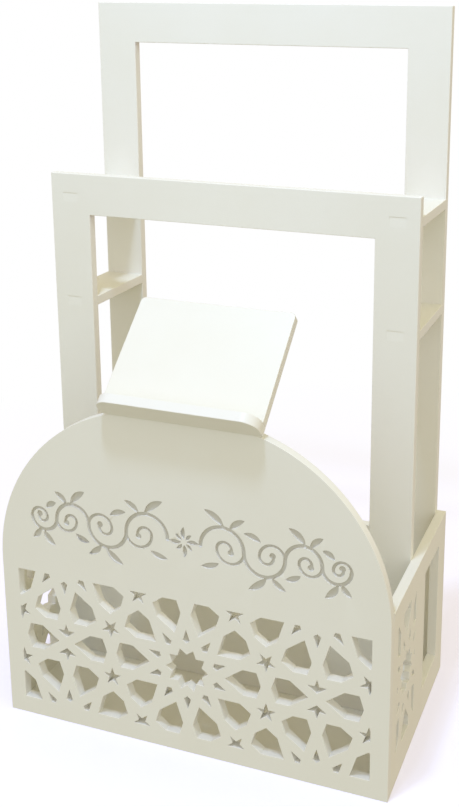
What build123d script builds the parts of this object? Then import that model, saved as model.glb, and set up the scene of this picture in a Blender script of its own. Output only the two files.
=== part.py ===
"""Quran stand with two prayer-mat frames, cut from 12 mm painted MDF board.

Frame: +Z up, +Y from the front to the back, +X to the user's right as they face the stand.
The origin is on the floor at the middle of the stand's bounding box. Millimetres.
"""
from build123d import *
from math import cos, hypot, radians, sin
import os

# ---------------------------------------------------------------- driving dimensions
BOARD = 12.0                    # thickness of every board
WIDTH = 500.0                   # over the side panels
FRONT_FRAME_Y = 127.0           # front face of the front frame, from the front of the stand
REAR_FRAME_Y = 255.0            # front face of the rear frame
DEPTH = REAR_FRAME_Y + BOARD
SIDE_HEIGHT = 233.0
FRONT_FRAME_TOP = 677.0
REAR_FRAME_TOP = 885.0
UPRIGHT = 53.0                  # width of a frame's uprights
TOP_RAIL = 51.0                 # height of a frame's top rail
FRONT_WINDOW_BOTTOM = SIDE_HEIGHT
REAR_WINDOW_BOTTOM = 200.0

ARCH_SPRING = 214.0             # height where the sides of the front panel start to curve in
ARCH_RADIUS = 218.0

UPPER_SHELF_TOP = 653.0         # the small cross boards that tie the two frames together
LOWER_SHELF_TOP = 519.0
TAB_WIDTH = 20.0                # tab on each end of a cross board, through the frame

LATTICE_UNIT = 47.8             # edge of the decagons that the lattice is drawn from
LATTICE_BAR = 12.6              # width of a lattice bar
FRONT_LATTICE_HALF_WIDTH = 228.0
FRONT_LATTICE_BOTTOM = 23.0
FRONT_LATTICE_TOP = 202.0
SIDE_LATTICE_FRONT = 31.0       # distances from the front of the stand
SIDE_LATTICE_BACK = 113.0
SIDE_LATTICE_BOTTOM = 38.0
SIDE_LATTICE_TOP = 206.0
SIDE_OPENING_FRONT = 157.0
SIDE_OPENING_BACK = 231.0
SIDE_OPENING_BOTTOM = 41.0
SIDE_OPENING_TOP = 202.0
SMALLEST_HOLE = 12.0            # mm2, slivers at the lattice's border that are left uncut

ORNAMENT_Z = 279.0              # middle of the engraved scroll on the front panel
SCROLL_START = 21.0             # where the stem leaves the flower
SCROLL_RADII = (27.0, 25.0, 22.0, 17.0)
STEM_WIDTH = 4.8
TENDRIL_WIDTH = 3.8
BUD_RADIUS = 3.9
FLOWER_HEART = 3.5              # uncut middle of the flower
GROOVE_DEPTH = 2.5

REST_WIDTH = 200.0
REST_LENGTH = 140.0             # from the ledge to the top edge
REST_TILT = 43.0                # degrees from the floor
REST_ROOT_Y = -1.4              # where the board's face meets the ledge, from the stand's front
REST_ROOT_Z = 441.0
REST_CORNER = 6.0
LEDGE_DEPTH = 21.0              # in front of the board
LEDGE_CORNER = 20.0
BRACKET_X = 60.0                # middle of each bracket, left and right of centre
BRACKET_REACH = 108.0           # along the board
BRACKET_DROP = 96.0             # down the back of the front panel
BRACKET_NOSE = 14.0

DOWEL = 6.0                     # diameter
DOWEL_LENGTH = 20.0
DOWEL_BLIND = 8.0               # part of the dowel that is in a board's face; the rest is in an edge
DOWEL_CLEARANCE = 0.1

# ---------------------------------------------------------------- derived dimensions
INNER_HALF = WIDTH / 2 - BOARD          # inner face of a side panel
WINDOW_HALF = INNER_HALF - UPRIGHT      # half the width of a frame's window
ARCH_CENTRE = WIDTH / 2 - ARCH_RADIUS
TILT = radians(REST_TILT)
LEDGE_OVERHANG = BOARD * cos(TILT) + LEDGE_DEPTH * sin(TILT) - REST_ROOT_Y
FRONT_Y = (LEDGE_OVERHANG - DEPTH) / 2  # front panel's face, with the bounding box centred on y = 0


def depth(distance):
    """The y of a point, given its distance from the front of the stand."""
    return FRONT_Y + distance


# ---------------------------------------------------------------- boards and dowels
def upright_board(sketch, front):
    """A board that faces the front: the sketch is drawn in (x, z)."""
    return extrude(Plane.XZ.offset(-depth(front)) * sketch, amount=-BOARD)


def side_board(sketch, inner_x):
    """A board that faces the side: the sketch is drawn in (y, z), its lower x is inner_x."""
    return extrude(Plane.YZ.offset(inner_x) * sketch, amount=BOARD)


def flat_board(sketch, top):
    """A board that lies flat: the sketch is drawn in (x, y)."""
    return extrude(Plane.XY.offset(top) * sketch, amount=-BOARD)


def rectangle(low_x, high_x, low_y, high_y):
    centre = Location(((low_x + high_x) / 2, (low_y + high_y) / 2))
    return centre * Rectangle(high_x - low_x, high_y - low_y)


def rod(point, direction, diameter):
    """A dowel's cylinder: point is on the board face, the edge it enters lies along direction."""
    seat = Plane(origin=point, z_dir=direction).offset(-DOWEL_BLIND)
    return extrude(seat * Circle(diameter / 2), amount=DOWEL_LENGTH)


def dowels(seats):
    return [rod(point, direction, DOWEL) for point, direction in seats]


def drill(board, seats):
    """Bore the holes for a set of dowels into a board."""
    for point, direction in seats:
        board = board - rod(point, direction, DOWEL + DOWEL_CLEARANCE)
    return board


# ---------------------------------------------------------------- ten-fold star lattice
def polar(radius, angle):
    return (radius * cos(radians(angle)), radius * sin(radians(angle)))


def turned(points, angle, centre=(0, 0)):
    c, s = cos(radians(angle)), sin(radians(angle))
    return [(centre[0] + c * x - s * y, centre[1] + s * x + c * y) for x, y in points]


def rosette_cells():
    """Cells of one rosette about the origin, bars without width, for a decagon edge of 1."""
    star_tip, star_notch, kite_tip = 0.809, 0.588, 1.539
    petal_near, petal_far, petal_end, petal_half = 1.4635, 1.9635, 2.118, 0.4755
    pentagram_radius, pentagram_tip, pentagram_notch = 2.227, 0.6882, 0.2629

    star = []
    for k in range(10):
        star += [polar(star_tip, 36 * k), polar(star_notch, 36 * k + 18)]
    kite = [polar(star_tip, 0), polar(kite_tip, 18), polar(star_tip, 36), polar(star_notch, 18)]
    petal = [(star_tip, 0), (petal_near, petal_half), (petal_far, petal_half),
             (petal_end, 0), (petal_far, -petal_half), (petal_near, -petal_half)]
    pentagram = []
    for k in range(5):
        pentagram += [polar(pentagram_tip, 72 * k), polar(pentagram_notch, 72 * k + 36)]

    cells = [star]
    for k in range(10):
        cells.append(turned(kite, 36 * k))
        cells.append(turned(petal, 36 * k))
        middle = 36 * k + 18
        if middle not in (90, 270):
            cells.append(turned(pentagram, middle + 180, polar(pentagram_radius, middle)))
    # Left and right of the rosette, a second petal reaches back from the arrows' meeting point.
    for angle in (0, 180):
        cells.append(turned([(2 * petal_end - x, y) for x, y in petal], angle))
    return cells


def arrow_cells():
    """The two arrow-shaped cells between neighbouring rosettes, about their meeting point."""
    arrow = [(0, 0), (0.6545, 0.4755), (0.1545, 0.4755), (0, 0.951), (-0.1545, 0.4755),
             (-0.6545, 0.4755)]
    return [arrow, turned(arrow, 180)]


def lattice_cells(reach):
    """All cells whose rosette lies within reach of the origin, each only once."""
    repeat_x, repeat_y = 6.854, 4.980
    rosette, arrows = rosette_cells(), arrow_cells()
    cells = {}
    steps = range(-reach, reach + 1)
    for i in steps:
        for j in steps:
            if (i + j) % 2:
                continue
            x, y = i * repeat_x / 2, j * repeat_y / 2
            shapes = [turned(cell, 0, (x, y)) for cell in rosette]
            shapes += [turned(cell, 0, (x + repeat_x / 2, y)) for cell in arrows]
            for shape in shapes:
                middle_x = sum(p[0] for p in shape) / len(shape)
                middle_y = sum(p[1] for p in shape) / len(shape)
                cells[(round(middle_x, 1), round(middle_y, 1))] = shape
    return list(cells.values())


def inset(points, gap):
    """The polygon with every side moved inwards by gap."""
    count = len(points)
    area = sum(points[k - 1][0] * points[k][1] - points[k][0] * points[k - 1][1]
               for k in range(count))
    if area < 0:
        points = points[::-1]
    corners = []
    for k in range(count):
        (ax, ay), (bx, by), (cx, cy) = points[k - 1], points[k], points[(k + 1) % count]
        first, second = hypot(bx - ax, by - ay), hypot(cx - bx, cy - by)
        ux, uy = (bx - ax) / first, (by - ay) / first
        vx, vy = (cx - bx) / second, (cy - by) / second
        cross = ux * vy - uy * vx
        slide = gap * (ux * vx + uy * vy - 1) / cross
        corners.append((bx - gap * uy + slide * ux, by + gap * ux + slide * uy))
    return corners


def lattice(window, centre, upright):
    """The holes of a lattice in a window; upright turns the pattern by a quarter."""
    holes = []
    for cell in lattice_cells(reach=3):
        shape = turned([(x * LATTICE_UNIT, y * LATTICE_UNIT) for x, y in cell],
                       90 if upright else 0, centre)
        hole = Polygon(*inset(shape, LATTICE_BAR / 2), align=None) & window
        holes += [face for face in hole.faces() if face.area > SMALLEST_HOLE]
    return holes


# ---------------------------------------------------------------- engraved scroll
def groove(start, middle, end, width):
    """A groove with rounded ends along the arc through three points."""
    return SlotArc(ThreePointArc(start, middle, end), width).face()


def leaf(root, tip, belly):
    """A pointed leaf from root to tip; belly is how far the fuller edge bows out."""
    (ax, ay), (bx, by) = root, tip
    length = hypot(bx - ax, by - ay)
    nx, ny = -(by - ay) / length, (bx - ax) / length
    mx, my = (ax + bx) / 2, (ay + by) / 2
    full = ThreePointArc(root, (mx + nx * belly, my + ny * belly), tip)
    lean = ThreePointArc(tip, (mx - nx * belly * 0.4, my - ny * belly * 0.4), root)
    return make_face(full.edges() + lean.edges())


def bud(point, radius):
    return (Location(point) * Circle(radius)).face()


def curl(centre, radius, lift):
    """One wave of the stem over a half circle, with its inner tendril, leaves and bud."""
    cx, cy = centre
    inner, heart = radius * 0.62, radius * 0.34
    tendril_x = cx + radius - 2 * inner
    return [
        groove((cx - radius, cy), (cx, cy + lift * radius), (cx + radius, cy), STEM_WIDTH),
        groove((cx + radius, cy), (cx + radius - inner, cy - lift * inner), (tendril_x, cy),
               TENDRIL_WIDTH),
        groove((tendril_x, cy), (tendril_x + heart, cy + lift * heart),
               (tendril_x + 2 * heart, cy), TENDRIL_WIDTH),
        bud((tendril_x + 2 * heart - 1, cy - lift * 3), BUD_RADIUS),
        leaf((cx + radius * 0.1, cy + lift * (radius + 1)),
             (cx - radius * 0.8, cy + lift * (radius + 19)), lift * -6.5),
        leaf((cx + radius * 0.35, cy + lift * (radius - 1)),
             (cx + radius * 1.05, cy + lift * (radius + 13)), lift * 5.5),
        leaf((cx - radius * 0.15, cy - lift * radius * 0.68),
             (cx - radius * 1.0, cy - lift * (radius * 0.5 + 12)), lift * 5.5),
    ]


def scroll():
    """The half of the running scroll that is right of the middle flower, about z = 0."""
    x = SCROLL_START
    shapes = []
    for number, radius in enumerate(SCROLL_RADII):
        x += radius
        shapes += curl((x, 0), radius, 1 if number % 2 == 0 else -1)
        x += radius
    return shapes


def flower():
    """Eight pointed petals, long and short by turns, about z = 0."""
    petals = []
    for k in range(8):
        length, belly = (19.0, 4.0) if k % 2 == 0 else (14.0, 3.0)
        root, tip = polar(FLOWER_HEART, 45 * k), polar(length, 45 * k)
        petals.append(leaf(root, tip, belly))
    return petals


def engraving():
    """What is cut from the front panel: the scroll to the right, its mirror image, the flower."""
    face = Plane.XZ.offset(-depth(0)) * Location((0, ORNAMENT_Z))
    right = extrude(face * (Sketch() + scroll()), amount=-GROOVE_DEPTH)
    middle = extrude(face * (Sketch() + flower()), amount=-GROOVE_DEPTH)
    return [right, mirror(right, about=Plane.YZ), middle]


# ---------------------------------------------------------------- dowel seats
# Each seat is a point on the joint between two boards and the direction of the edge.
def corner_seats(side):
    x = side * (WIDTH / 2 - BOARD / 2)
    return [((x, depth(BOARD), z), (0, 1, 0)) for z in (20.0, 86.0, 152.0, 218.0)]


def frame_seats(side, front, heights):
    return [((side * INNER_HALF, depth(front + BOARD / 2), z), (-side, 0, 0)) for z in heights]


def floor_seats(side):
    return [((side * INNER_HALF, depth(y), BOARD / 2), (-side, 0, 0)) for y in (45.0, 100.0, 200.0)]


FRONT_FRAME_HEIGHTS = (50.0, 125.0, 200.0)
REAR_FRAME_HEIGHTS = (30.0, 110.0, 190.0)
SIDES = {"left": -1, "right": 1}

REST_ROOT = (0, depth(REST_ROOT_Y), REST_ROOT_Z)
ALONG = (0, cos(TILT), sin(TILT))           # up the face of the book rest
OUTWARD = (0, -sin(TILT), cos(TILT))        # out of its face


def rest_point(x, along, outward):
    return (x,
            REST_ROOT[1] + along * ALONG[1] + outward * OUTWARD[1],
            REST_ROOT[2] + along * ALONG[2] + outward * OUTWARD[2])


LEDGE_SEATS = [(rest_point(x, 0, -BOARD / 2), ALONG) for x in (-80.0, -27.0, 27.0, 80.0)]


def bracket_seats(x):
    """Two dowels from the front panel into the bracket's front edge."""
    return [((x, depth(BOARD), z), (0, 1, 0)) for z in (365.0, 410.0)]


# ---------------------------------------------------------------- sub-parts
def front_panel():
    """Arched front board with the star lattice and the engraved scroll."""
    outline = rectangle(-WIDTH / 2, WIDTH / 2, 0, ARCH_SPRING)
    outline += rectangle(-ARCH_CENTRE, ARCH_CENTRE, 0, ARCH_SPRING + ARCH_RADIUS)
    for side in SIDES.values():
        outline += Location((side * ARCH_CENTRE, ARCH_SPRING)) * Circle(ARCH_RADIUS)
    outline = outline & rectangle(-WIDTH / 2, WIDTH / 2, 0, 2 * ARCH_RADIUS)
    panel = upright_board(outline, 0)

    window = rectangle(-FRONT_LATTICE_HALF_WIDTH, FRONT_LATTICE_HALF_WIDTH,
                       FRONT_LATTICE_BOTTOM, FRONT_LATTICE_TOP)
    middle = (0, (FRONT_LATTICE_BOTTOM + FRONT_LATTICE_TOP) / 2)
    panel -= upright_board(Sketch() + lattice(window, middle, False), 0)

    for cut in engraving():
        panel -= cut

    # The top is bevelled to the back of the book rest.
    bevel = Plane(origin=rest_point(0, -BOARD, -BOARD), x_dir=(1, 0, 0), z_dir=OUTWARD)
    panel -= extrude(bevel * Rectangle(WIDTH, 4 * BOARD), amount=2 * BOARD)

    for side in SIDES.values():
        panel = drill(panel, corner_seats(side) + bracket_seats(side * BRACKET_X))
    return panel


def side_panel(side):
    """Side board with a lattice window beside the front pocket and an open one behind."""
    inner = INNER_HALF if side > 0 else -WIDTH / 2
    face = rectangle(depth(BOARD), depth(DEPTH), 0, SIDE_HEIGHT)
    face -= rectangle(depth(SIDE_OPENING_FRONT), depth(SIDE_OPENING_BACK),
                      SIDE_OPENING_BOTTOM, SIDE_OPENING_TOP)
    window = rectangle(depth(SIDE_LATTICE_FRONT), depth(SIDE_LATTICE_BACK),
                       SIDE_LATTICE_BOTTOM, SIDE_LATTICE_TOP)
    middle = (depth((SIDE_LATTICE_FRONT + SIDE_LATTICE_BACK) / 2),
              (SIDE_LATTICE_BOTTOM + SIDE_LATTICE_TOP) / 2)
    panel = side_board(face, inner) - side_board(Sketch() + lattice(window, middle, True), inner)
    panel = drill(panel, corner_seats(side) + floor_seats(side))
    panel = drill(panel, frame_seats(side, FRONT_FRAME_Y, FRONT_FRAME_HEIGHTS))
    return drill(panel, frame_seats(side, REAR_FRAME_Y, REAR_FRAME_HEIGHTS))


def floor_panel():
    panel = flat_board(rectangle(-INNER_HALF, INNER_HALF, depth(BOARD), depth(REAR_FRAME_Y)), BOARD)
    for side in SIDES.values():
        panel = drill(panel, floor_seats(side))
    return panel


def tab_slots(top):
    """Slots in a frame for the tabs of the two cross boards at one height."""
    return [rectangle(side * tab_x() - TAB_WIDTH / 2, side * tab_x() + TAB_WIDTH / 2, top - BOARD, top)
            for side in SIDES.values()]


def tab_x():
    return INNER_HALF - UPRIGHT / 2


def frame(front, bottom, top, window_bottom, heights):
    """A frame with its window, its slots for the cross boards and its dowel holes."""
    face = rectangle(-INNER_HALF, INNER_HALF, bottom, top)
    face -= rectangle(-WINDOW_HALF, WINDOW_HALF, window_bottom, top - TOP_RAIL)
    for shelf_top in (UPPER_SHELF_TOP, LOWER_SHELF_TOP):
        for slot in tab_slots(shelf_top):
            face -= slot
    board = upright_board(face, front)
    for side in SIDES.values():
        board = drill(board, frame_seats(side, front, heights))
    return board


def cross_shelf(side, top):
    """Small cross board between the frames, with a tab through each of them."""
    inner, outer = sorted((side * WINDOW_HALF, side * INNER_HALF))
    plan = rectangle(inner, outer, depth(FRONT_FRAME_Y + BOARD), depth(REAR_FRAME_Y))
    plan += rectangle(side * tab_x() - TAB_WIDTH / 2, side * tab_x() + TAB_WIDTH / 2,
                      depth(FRONT_FRAME_Y), depth(DEPTH))
    return flat_board(plan, top)


def book_rest_board():
    face = Plane(origin=REST_ROOT, x_dir=(1, 0, 0), z_dir=OUTWARD)
    sheet = rectangle(-REST_WIDTH / 2, REST_WIDTH / 2, 0, REST_LENGTH)
    sheet = fillet(sheet.vertices().group_by(Axis.Y)[-1], REST_CORNER)
    return drill(extrude(face * sheet, amount=-BOARD), LEDGE_SEATS)


def book_rest_ledge():
    """Ledge square to the board, under its lower end, that keeps the book from sliding off."""
    down = tuple(-value for value in ALONG)
    plane = Plane(origin=REST_ROOT, x_dir=(1, 0, 0), z_dir=down)
    sheet = rectangle(-REST_WIDTH / 2, REST_WIDTH / 2, -BOARD, LEDGE_DEPTH)
    sheet = fillet(sheet.vertices().group_by(Axis.Y)[-1], LEDGE_CORNER)
    return drill(extrude(plane * sheet, amount=BOARD), LEDGE_SEATS)


def rest_bracket(x):
    """Gusset between the back of the front panel and the back of the book rest."""
    along = (depth(BOARD) - rest_point(0, 0, -BOARD)[1]) / ALONG[1]
    low, high = rest_point(0, along, -BOARD), rest_point(0, BRACKET_REACH, -BOARD)
    outline = Polyline((low[1], low[2]), (high[1], high[2]), (high[1], high[2] - BRACKET_NOSE),
                       (low[1], low[2] - BRACKET_DROP), (low[1], low[2]))
    bracket = side_board(make_face(outline.edges()), x - BOARD / 2)
    return drill(bracket, bracket_seats(x))


# ---------------------------------------------------------------- assembly
def assembly():
    nodes = {
        "front_panel": [front_panel()],
        "floor_panel": [floor_panel()],
        "front_frame": [frame(FRONT_FRAME_Y, BOARD, FRONT_FRAME_TOP, FRONT_WINDOW_BOTTOM,
                              FRONT_FRAME_HEIGHTS)],
        "rear_frame": [frame(REAR_FRAME_Y, 0, REAR_FRAME_TOP, REAR_WINDOW_BOTTOM,
                             REAR_FRAME_HEIGHTS)],
        "book_rest_board": [book_rest_board()],
        "book_rest_ledge": [book_rest_ledge()],
        "ledge_dowels": dowels(LEDGE_SEATS),
    }
    for name, side in SIDES.items():
        nodes[f"{name}_side_panel"] = [side_panel(side)]
        nodes[f"{name}_upper_cross_shelf"] = [cross_shelf(side, UPPER_SHELF_TOP)]
        nodes[f"{name}_lower_cross_shelf"] = [cross_shelf(side, LOWER_SHELF_TOP)]
        nodes[f"{name}_rest_bracket"] = [rest_bracket(side * BRACKET_X)]
        nodes[f"{name}_bracket_dowels"] = dowels(bracket_seats(side * BRACKET_X))
        nodes[f"{name}_corner_dowels"] = dowels(corner_seats(side))
        nodes[f"{name}_floor_dowels"] = dowels(floor_seats(side))
        nodes[f"{name}_front_frame_dowels"] = dowels(
            frame_seats(side, FRONT_FRAME_Y, FRONT_FRAME_HEIGHTS))
        nodes[f"{name}_rear_frame_dowels"] = dowels(
            frame_seats(side, REAR_FRAME_Y, REAR_FRAME_HEIGHTS))
    return nodes


os.makedirs("parts", exist_ok=True)
for node, pieces in assembly().items():
    solids = [solid for piece in pieces for solid in piece.solids()]
    shape = solids[0] if len(solids) == 1 else Compound(children=solids)
    export_step(shape, f"parts/{node}.step")
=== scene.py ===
from math import cos, pi, radians, sin

import bmesh
import bpy
from mathutils import Matrix, Vector


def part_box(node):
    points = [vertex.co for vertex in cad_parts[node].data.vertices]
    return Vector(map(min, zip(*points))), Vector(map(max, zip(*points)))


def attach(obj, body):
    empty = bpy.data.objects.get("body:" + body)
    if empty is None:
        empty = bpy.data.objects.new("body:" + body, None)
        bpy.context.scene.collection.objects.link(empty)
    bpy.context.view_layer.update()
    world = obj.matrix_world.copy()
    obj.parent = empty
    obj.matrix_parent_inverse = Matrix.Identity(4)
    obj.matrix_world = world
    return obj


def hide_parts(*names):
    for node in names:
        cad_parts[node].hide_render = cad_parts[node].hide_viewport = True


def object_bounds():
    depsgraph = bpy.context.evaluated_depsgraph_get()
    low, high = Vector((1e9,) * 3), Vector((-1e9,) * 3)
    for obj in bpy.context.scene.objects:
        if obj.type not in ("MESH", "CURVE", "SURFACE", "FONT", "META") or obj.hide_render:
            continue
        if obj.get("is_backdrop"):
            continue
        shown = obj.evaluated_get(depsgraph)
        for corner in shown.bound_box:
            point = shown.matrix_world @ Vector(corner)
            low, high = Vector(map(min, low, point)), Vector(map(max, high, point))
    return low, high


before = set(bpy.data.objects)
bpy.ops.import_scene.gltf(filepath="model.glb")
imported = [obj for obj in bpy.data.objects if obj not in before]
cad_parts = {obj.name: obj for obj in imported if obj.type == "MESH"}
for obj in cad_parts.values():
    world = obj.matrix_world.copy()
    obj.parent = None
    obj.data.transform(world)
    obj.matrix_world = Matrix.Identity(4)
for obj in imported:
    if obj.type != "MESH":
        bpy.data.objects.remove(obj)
cad_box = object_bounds()

MM = 0.001

# ---------------------------------------------------------------- looks
FACE_PAINT = (0.860, 0.840, 0.755)      # warm white satin paint on the faces of the boards
EDGE_PAINT = (0.860, 0.845, 0.790)      # the same paint, soaked into the cut edges
GROOVE_PAINTED_SHADE = (0.610, 0.585, 0.510)    # painted shade on the floors of the engraved grooves, a darker copy of the paint

SANDED = 0.8 * MM                       # how far the boards' edges are rounded over
SANDED_FINE = 0.45 * MM                 # the same, where the cut-outs are small
TAB_SINK = 0.5 * MM                     # how far the filler over a tab has sagged at its top
BEVEL_STEPS = 3
NORMAL_WEIGHT = 60                      # how much large faces decide the shading of their edges
HARD_ANGLE = radians(32)                # edges sharper than this are rounded over
CREASE = radians(40)                    # edges sharper than this after that are shaded as sharp
FACING = 0.7                            # cosine that tells a board's faces from its edges
FACING_END = 0.9                        # and the end of a tab from its sides
ON_FACE, ON_EDGE, IN_GROOVE_SHADE = range(3)  # a board's paints and the painted shade in its grooves, by material slot

WELD = 0.002 * MM                       # vertices nearer than this are one
FLAT = radians(0.4)                     # triangles that meet at less than this are one face
END_MARGIN = 0.05 * MM                  # how near to the end of a tab its vertices are
SLOT_MARGIN = 0.1 * MM                  # how near to a cross board's height its slot's rim is
HOLE_MARGIN = 0.3 * MM                  # how near to a dowel the rim of its hole is

# The engraved strip of the front panel: its heights above the panel's foot, its reach to either
# side of the middle, and its depth.
ENGRAVED_BOTTOM = 215 * MM
ENGRAVED_TOP = 345 * MM
ENGRAVED_HALF_WIDTH = 215 * MM
ENGRAVED_DEPTH = 3.0 * MM               # no groove is deeper than this
GROOVE_FLOOR = 2.0 * MM                 # and a groove's floor, which gets the painted shade, is deeper than this

FRAME_NODES = ("front_frame", "rear_frame")
PIERCED_NODES = ("front_panel", "left_side_panel", "right_side_panel")
SHELF_NODES = [f"{side}_{level}_cross_shelf" for side in ("left", "right")
               for level in ("upper", "lower")]
PLAIN_NODES = ("floor_panel", "book_rest_board", "book_rest_ledge", "left_rest_bracket",
               "right_rest_bracket")


# ---------------------------------------------------------------- materials
# The sockets of a Mix node that blends colours, by number, because several share a name.
MIX_SHARE, MIX_FIRST, MIX_SECOND, MIX_RESULT = 0, 6, 7, 2


class Nodes:
    """Short calls that build the node tree of a material or a world."""

    def __init__(self, owner):
        owner.use_nodes = True
        self.tree = owner.node_tree
        self.place = self.add("ShaderNodeTexCoord").outputs["Object"]

    def add(self, kind, **settings):
        node = self.tree.nodes.new(kind)
        for key, value in settings.items():
            setattr(node, key, value)
        return node

    def link(self, output, node, socket):
        self.tree.links.new(output, node.inputs[socket])

    def feed(self, colour, node, socket):
        """Gives a socket a colour, which is three numbers or the output of another node."""
        if isinstance(colour, tuple):
            node.inputs[socket].default_value = (*colour, 1)
        else:
            self.link(colour, node, socket)

    def stretched(self, scale):
        """The object's coordinates, scaled differently along each axis."""
        mapping = self.add("ShaderNodeMapping")
        mapping.inputs["Scale"].default_value = scale
        self.link(self.place, mapping, "Vector")
        return mapping.outputs["Vector"]

    def noise(self, scale, detail=3.0, roughness=0.5, place=None):
        node = self.add("ShaderNodeTexNoise")
        node.inputs["Scale"].default_value = scale
        node.inputs["Detail"].default_value = detail
        node.inputs["Roughness"].default_value = roughness
        self.link(place or self.place, node, "Vector")
        return node.outputs["Fac"]

    def ramp(self, value, low, high, start=0.0, end=1.0):
        node = self.add("ShaderNodeMapRange")
        for socket, number in (("From Min", low), ("From Max", high), ("To Min", start),
                               ("To Max", end)):
            node.inputs[socket].default_value = number
        self.link(value, node, "Value")
        return node.outputs["Result"]

    def mix(self, share, first, second):
        """A colour between first and second."""
        return self.blended("MIX", share, first, second)

    def blended(self, kind, share, first, second):
        node = self.add("ShaderNodeMix", data_type="RGBA", blend_type=kind)
        self.link(share, node, MIX_SHARE)
        self.feed(first, node, MIX_FIRST)
        self.feed(second, node, MIX_SECOND)
        return node.outputs[MIX_RESULT]

    def bump(self, height, strength, distance, below=None):
        node = self.add("ShaderNodeBump")
        node.inputs["Strength"].default_value = strength
        node.inputs["Distance"].default_value = distance
        self.link(height, node, "Height")
        if below is not None:
            self.link(below, node, "Normal")
        return node.outputs["Normal"]

    def along(self, direction, low, high):
        """How far the looking direction points along another one, from 0 at low to 1 at high."""
        node = self.add("ShaderNodeVectorMath", operation="DOT_PRODUCT")
        node.inputs[1].default_value = direction
        self.link(self.tree.nodes["Texture Coordinate"].outputs["Generated"], node, 0)
        return self.ramp(node.outputs["Value"], low, high)

    def distance(self, near, far):
        """How far a point is from the origin, from 0 at near to 1 at far."""
        node = self.add("ShaderNodeVectorMath", operation="LENGTH")
        self.link(self.place, node, 0)
        return self.ramp(node.outputs["Value"], near, far)

    def glow(self, uniform, sides):
        """A uniform light with more light added towards some sides."""
        light = uniform
        for colour, direction, low, high in sides:
            light = self.blended("ADD", self.along(direction, low, high), light, colour)
        return light


def new_material(name):
    material = bpy.data.materials.new(name)
    n = Nodes(material)
    return material, n, n.tree.nodes["Principled BSDF"]


def tinted(colour, red, green, blue):
    return (colour[0] * red, colour[1] * green, colour[2] * blue)


def painted_board(name, colour, fibre):
    """Rolled satin paint on MDF. fibre is how much of the board's fibre shows through."""
    material, n, shader = new_material(name)

    # the tone drifts slowly over a board, and has fine specks
    cloud = n.ramp(n.noise(7.0, detail=4.0, roughness=0.6), 0.35, 0.65)
    base = n.mix(cloud, colour, tinted(colour, 0.985, 0.98, 0.965))
    fleck = n.ramp(n.noise(900.0, detail=2.0), 0.62, 0.78, 0.0, 0.5)
    base = n.mix(fleck, base, tinted(colour, 0.95, 0.94, 0.91))
    n.link(base, shader, "Base Color")

    gloss = n.ramp(n.noise(24.0, detail=5.0, roughness=0.65), 0.3, 0.7, 0.36, 0.50)
    n.link(gloss, shader, "Roughness")
    shader.inputs["Specular IOR Level"].default_value = 0.42
    shader.inputs["Coat Weight"].default_value = 0.12
    shader.inputs["Coat Roughness"].default_value = 0.28

    # the roller's stipple, its long strokes, and the fibre under the paint
    peel = n.bump(n.noise(420.0, detail=3.0), 0.16, 0.3 * MM)
    drag = n.bump(n.noise(60.0, detail=3.0, place=n.stretched((1.0, 1.0, 0.18))), 0.10,
                  0.6 * MM, below=peel)
    fuzz = n.bump(n.noise(1600.0, detail=4.0, roughness=0.7), 0.10 + 0.35 * fibre, 0.25 * MM,
                  below=drag)
    n.link(fuzz, shader, "Normal")
    return material


def bare_beech(name):
    """End and side grain of a dowel."""
    material, n, shader = new_material(name)
    grain = n.noise(260.0, detail=6.0, roughness=0.6, place=n.stretched((6.0, 0.4, 6.0)))
    colour = n.mix(n.ramp(grain, 0.3, 0.7), (0.62, 0.42, 0.25), (0.74, 0.56, 0.37))
    n.link(colour, shader, "Base Color")
    n.link(n.ramp(grain, 0.3, 0.7, 0.55, 0.75), shader, "Roughness")
    n.link(n.bump(grain, 0.3, 0.2 * MM), shader, "Normal")
    return material


def pale_floor(name):
    """A matt pale floor, which turns into plain white light further off."""
    material, n, shader = new_material(name)
    cloud = n.ramp(n.noise(1.5, detail=3.0), 0.3, 0.7)
    matt = n.mix(cloud, FLOOR, tinted(FLOOR, 0.995, 0.995, 0.995))
    far = n.distance(*FLOOR_FADES)
    n.link(n.mix(far, matt, (0.0, 0.0, 0.0)), shader, "Base Color")
    n.link(n.mix(far, FLOOR_GLOW, (1.0, 1.0, 1.0)), shader, "Emission Color")
    shader.inputs["Roughness"].default_value = 0.9
    shader.inputs["Specular IOR Level"].default_value = 0.0
    shader.inputs["Emission Strength"].default_value = 1.0
    return material


# ---------------------------------------------------------------- boards
def inside(point, box, margin):
    low, high = box
    return all(low[k] - margin <= point[k] <= high[k] + margin for k in range(3))


def loose_parts(mesh):
    """The vertices of a mesh, part by part."""
    waiting = set(mesh.verts)
    while waiting:
        part, front = set(), [waiting.pop()]
        while front:
            vertex = front.pop()
            part.add(vertex)
            for edge in vertex.link_edges:
                other = edge.other_vert(vertex)
                if other in waiting:
                    waiting.remove(other)
                    front.append(other)
        yield part


def dowel_boxes():
    """The box of every dowel, so that the hole round it keeps its sharp edge."""
    boxes = []
    for node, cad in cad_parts.items():
        if not node.endswith("dowels"):
            continue
        mesh = bmesh.new()
        mesh.from_mesh(cad.data)
        bmesh.ops.remove_doubles(mesh, verts=mesh.verts, dist=WELD)
        for part in loose_parts(mesh):
            places = [vertex.co for vertex in part]
            boxes.append((Vector([min(p[k] for p in places) for k in range(3)]),
                          Vector([max(p[k] for p in places) for k in range(3)])))
        mesh.free()
    return boxes


def load_board(node):
    """The board's mesh, with the triangles of each flat face joined."""
    mesh = bmesh.new()
    mesh.from_mesh(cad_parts[node].data)
    bmesh.ops.remove_doubles(mesh, verts=mesh.verts, dist=WELD)
    bmesh.ops.dissolve_limit(mesh, angle_limit=FLAT, verts=mesh.verts, edges=mesh.edges)
    return mesh


def hard_edges(mesh):
    return [edge for edge in mesh.edges
            if len(edge.link_faces) == 2 and edge.calc_face_angle() > HARD_ANGLE]


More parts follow.
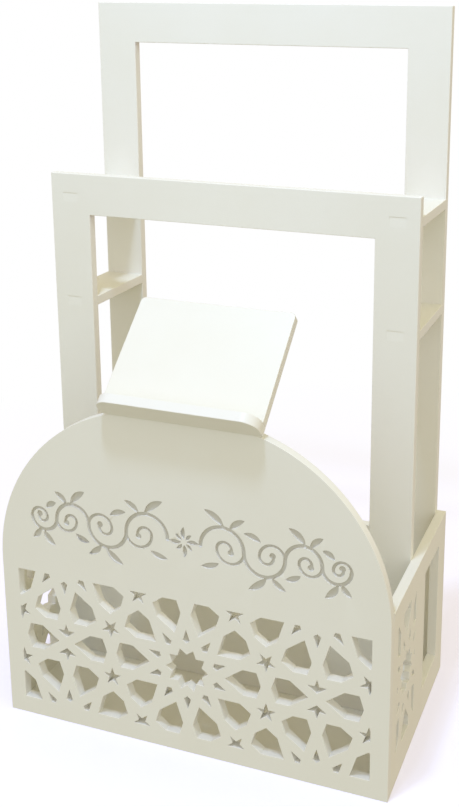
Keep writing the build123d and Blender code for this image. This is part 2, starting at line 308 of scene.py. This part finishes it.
def round_over(mesh, edges, width):
    bmesh.ops.bevel(mesh, geom=edges, offset=width, offset_type="OFFSET", segments=BEVEL_STEPS,
                    profile=0.5, affect="EDGES", clamp_overlap=False)


def finish_board(node, mesh, thin, grooves=()):
    """Makes the piece: paint on its faces and cut edges, painted shade on the floors of its
    grooves, smooth rounded corners.
    """
    for face in mesh.faces:
        face.material_index = ON_FACE if abs(face.normal.dot(thin)) > FACING else ON_EDGE
    # the floors of the grooves get painted shade, darker than the paint on the faces
    for face in grooves:
        face.material_index = IN_GROOVE_SHADE
    data = bpy.data.meshes.new(f"finished_{node}")
    mesh.to_mesh(data)
    mesh.free()
    paints = [face_paint, edge_paint]
    if grooves:
        paints.append(groove_painted_shade)
    for paint in paints:
        data.materials.append(paint)
    data.shade_smooth()
    data.set_sharp_from_angle(angle=CREASE)
    piece = bpy.data.objects.new(f"finished_{node}", data)
    bpy.context.scene.collection.objects.link(piece)
    weighted = piece.modifiers.new("weighted_normals", "WEIGHTED_NORMAL")
    weighted.keep_sharp = True
    weighted.weight = NORMAL_WEIGHT
    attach(piece, "root")
    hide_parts(node)
    return piece


def thin_direction(mesh):
    """The direction across the board."""
    return max(mesh.faces, key=lambda face: face.calc_area()).normal.copy()


def drilled(edge):
    """True for the rim of a dowel hole."""
    return any(all(inside(vertex.co, box, HOLE_MARGIN) for vertex in edge.verts)
               for box in DOWEL_BOXES)


def plain_board(node, width):
    mesh = load_board(node)
    thin = thin_direction(mesh)
    round_over(mesh, [edge for edge in hard_edges(mesh) if not drilled(edge)], width)
    return finish_board(node, mesh, thin)


def pierced_board(node, width):
    """A board with a lattice. The rims of the front panel's shallow engraving stay crisp."""
    low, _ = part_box(node)

    def engraved(part):
        """True for an edge or a face of the engraving."""
        return node == "front_panel" and all(
            low.z + ENGRAVED_BOTTOM < v.co.z < low.z + ENGRAVED_TOP
            and abs(v.co.x) < ENGRAVED_HALF_WIDTH and v.co.y < low.y + ENGRAVED_DEPTH
            for v in part.verts)

    mesh = load_board(node)
    thin = thin_direction(mesh)
    rims = [edge for edge in hard_edges(mesh) if not drilled(edge) and not engraved(edge)]
    round_over(mesh, rims, width)
    # the floors of the engraved grooves are picked out for the painted shade
    grooves = [face for face in mesh.faces
               if engraved(face) and face.calc_center_median().y > low.y + GROOVE_FLOOR]
    return finish_board(node, mesh, thin, grooves)


def frame_board(node):
    """A frame: the slots for the tabs are filled flush, so their rims stay crisp."""
    levels = [(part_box(shelf)[0].z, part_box(shelf)[1].z) for shelf in SHELF_NODES]

    def slot_rim(edge):
        return any(all(low - SLOT_MARGIN < v.co.z < high + SLOT_MARGIN for v in edge.verts)
                   for low, high in levels)

    mesh = load_board(node)
    thin = thin_direction(mesh)
    rims = [edge for edge in hard_edges(mesh) if not drilled(edge) and not slot_rim(edge)]
    round_over(mesh, rims, SANDED)
    return finish_board(node, mesh, thin)


def shelf_board(node):
    """A cross board: the filler over its tabs has sagged a little below the frame's face."""
    low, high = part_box(node)
    middle = (low.y + high.y) / 2
    mesh = load_board(node)
    thin = thin_direction(mesh)
    for vertex in mesh.verts:
        at_end = min(vertex.co.y - low.y, high.y - vertex.co.y) < END_MARGIN
        if at_end and vertex.co.z > high.z - END_MARGIN:
            vertex.co.y += TAB_SINK if vertex.co.y < middle else -TAB_SINK
    long_edges = [edge for edge in hard_edges(mesh)
                  if min(v.co.y for v in edge.verts) < middle < max(v.co.y for v in edge.verts)]
    round_over(mesh, long_edges, SANDED)
    piece = finish_board(node, mesh, thin)
    for face in piece.data.polygons:
        from_end = min(abs(face.center.y - low.y), abs(face.center.y - high.y))
        if abs(face.normal.y) > FACING_END and from_end < 2 * TAB_SINK:
            face.material_index = ON_FACE
    return piece


# ---------------------------------------------------------------- stage
CAMERA_LENS = 46.96                     # in millimetres; places are in metres
CAMERA_SHIFT = (-0.127, -0.198)
CAMERA_RIGHT = 0.5103                   # of the stand's middle
CAMERA_AHEAD = 0.9957                   # of the front panel
CAMERA_UP = 0.8857
CAMERA_TURN = radians(18.54)
CAMERA_DIP = radians(12.83)
CAMERA_ROLL = radians(0.6)

FLOOR = (0.92, 0.92, 1.0)               # a little cool, which makes up for the warm light
FLOOR_GLOW = (0.14, 0.13, 0.25)
FLOOR_FADES = (0.4, 1.2)                # where the floor starts and ends turning into plain white
FLOOR_REACH = 20.0                      # where it turns up into a wall
WALL_BEND = 6.0                         # radius of the turn
WALL_HEIGHT = 40.0
BEND_STEPS = 8
ROUND_STEPS = 64

LAMPS = (((0.011, -0.516, 1.767), 8.1), ((0.02, -1.0, 3.0), 8.5))      # place and power
LAMP_TARGET = Vector((0, 0, 0.3))
LAMP_SIZE = 0.11
LAMP_COLOUR = (0.52, 0.675, 1.0)

HORIZON = 0.02                          # half the height of the band where the halves meet

# The room's light: its colour all round, and what is added towards one side. A side is a colour,
# a direction, and how far a ray must point along it before the addition starts and is full.
LIGHT_ABOVE = ((0.710, 0.598, 0.360), (
    ((0.28, 0.28, 0.17), (1.0, 0.0, 0.0), 0.0, 0.9),
    ((0.05, 0.10, 0.10), (0.7, 0.0, 0.7), 0.3, 0.9),
    ((0.18, 0.30, 0.65), (0.0, -1.0, 0.0), 0.0, 0.9),
    ((0.06, 0.10, 0.16), (-1.0, 0.0, 0.0), 0.4, 1.0),
    ((0.08, 0.13, 0.21), (-0.31, 0.95, 0.0), 0.4, 1.0),
))
LIGHT_BELOW = ((0.235, 0.150, 0.020), (
    ((0.20, 0.17, 0.30), (1.0, 0.0, 0.0), 0.0, 0.9),
    ((0.32, 0.43, 0.38), (0.0, -1.0, 0.0), 0.0, 0.9),
    ((0.25, 0.30, 0.34), (-1.0, 0.0, 0.0), 0.4, 1.0),
    ((0.25, 0.32, 0.42), (0.0, 1.0, 0.0), 0.3, 1.0),
))


def floor_sweep(material):
    """A floor that turns up into a wall all round. It throws no light or shade on the stand."""
    angles = [step * pi / 2 / BEND_STEPS for step in range(BEND_STEPS + 1)]
    bend = [(FLOOR_REACH + WALL_BEND * sin(angle), WALL_BEND * (1 - cos(angle)))
            for angle in angles]
    outline = [(0.0, 0.0), *bend, (FLOOR_REACH + WALL_BEND, WALL_HEIGHT)]
    mesh = bmesh.new()
    points = [mesh.verts.new((radius, 0.0, height)) for radius, height in outline]
    for start, end in zip(points, points[1:]):
        mesh.edges.new((start, end))
    bmesh.ops.spin(mesh, geom=mesh.verts[:] + mesh.edges[:], cent=(0, 0, 0), axis=(0, 0, 1),
                   angle=2 * pi, steps=ROUND_STEPS)
    bmesh.ops.remove_doubles(mesh, verts=mesh.verts, dist=MM)
    data = bpy.data.meshes.new("floor")
    mesh.to_mesh(data)
    mesh.free()
    data.materials.append(material)
    floor = bpy.data.objects.new("floor", data)
    bpy.context.scene.collection.objects.link(floor)
    floor.visible_diffuse = False
    floor.visible_glossy = False
    floor.visible_shadow = False
    floor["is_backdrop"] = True


def lamp(place, power):
    """A small square lamp that points at the lower half of the stand."""
    data = bpy.data.lights.new("lamp", "AREA")
    data.shape = "RECTANGLE"
    data.size = data.size_y = LAMP_SIZE
    data.energy = power
    data.color = LAMP_COLOUR
    light = bpy.data.objects.new("lamp", data)
    light.location = place
    light.rotation_euler = (LAMP_TARGET - Vector(place)).to_track_quat("-Z", "Y").to_euler()
    bpy.context.scene.collection.objects.link(light)


def studio():
    """Soft warm light from all round, and two small cooler lamps above, one close, one far."""
    world = bpy.data.worlds.new("studio")
    n = Nodes(world)
    halves = [n.glow(uniform, lobes) for uniform, lobes in (LIGHT_BELOW, LIGHT_ABOVE)]
    room = n.mix(n.along((0.0, 0.0, 1.0), -HORIZON, HORIZON), *halves)
    n.link(room, n.tree.nodes["Background"], "Color")
    bpy.context.scene.world = world
    bpy.context.scene.view_settings.view_transform = "Standard"
    for place, power in LAMPS:
        lamp(place, power)


def camera():
    """Stands to the right, a metre in front, and looks a little down."""
    data = bpy.data.cameras.new("camera")
    data.lens = CAMERA_LENS
    data.shift_x, data.shift_y = CAMERA_SHIFT
    eye = bpy.data.objects.new("camera", data)
    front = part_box("front_panel")[0].y
    place = Matrix.Translation((CAMERA_RIGHT, front - CAMERA_AHEAD, CAMERA_UP))
    turn = Matrix.Rotation(CAMERA_TURN, 4, "Z")
    tilt = Matrix.Rotation(radians(90) - CAMERA_DIP, 4, "X")
    roll = Matrix.Rotation(CAMERA_ROLL, 4, "Z")
    eye.matrix_world = place @ turn @ tilt @ roll
    bpy.context.scene.collection.objects.link(eye)
    bpy.context.scene.camera = eye


# ---------------------------------------------------------------- making
camera()
face_paint = painted_board("satin_paint", FACE_PAINT, 0.0)
edge_paint = painted_board("satin_paint_on_edges", EDGE_PAINT, 1.0)
# a darker copy of the paint, which paints shade onto the floors of the grooves
groove_painted_shade = painted_board("painted_shade_in_grooves", GROOVE_PAINTED_SHADE, 1.0)
DOWEL_BOXES = dowel_boxes()
for node in PLAIN_NODES:
    plain_board(node, SANDED)
for node in PIERCED_NODES:
    pierced_board(node, SANDED_FINE)
for node in FRAME_NODES:
    frame_board(node)
for node in SHELF_NODES:
    shelf_board(node)

beech = bare_beech("bare_beech")
for node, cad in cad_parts.items():
    if node.endswith("dowels"):
        cad.data.materials.clear()
        cad.data.materials.append(beech)

floor_sweep(pale_floor("pale_floor"))
studio()

boxes = {"cad_box": cad_box, "visual_box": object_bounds()}
{name: [list(low), list(high)] for name, (low, high) in boxes.items()}
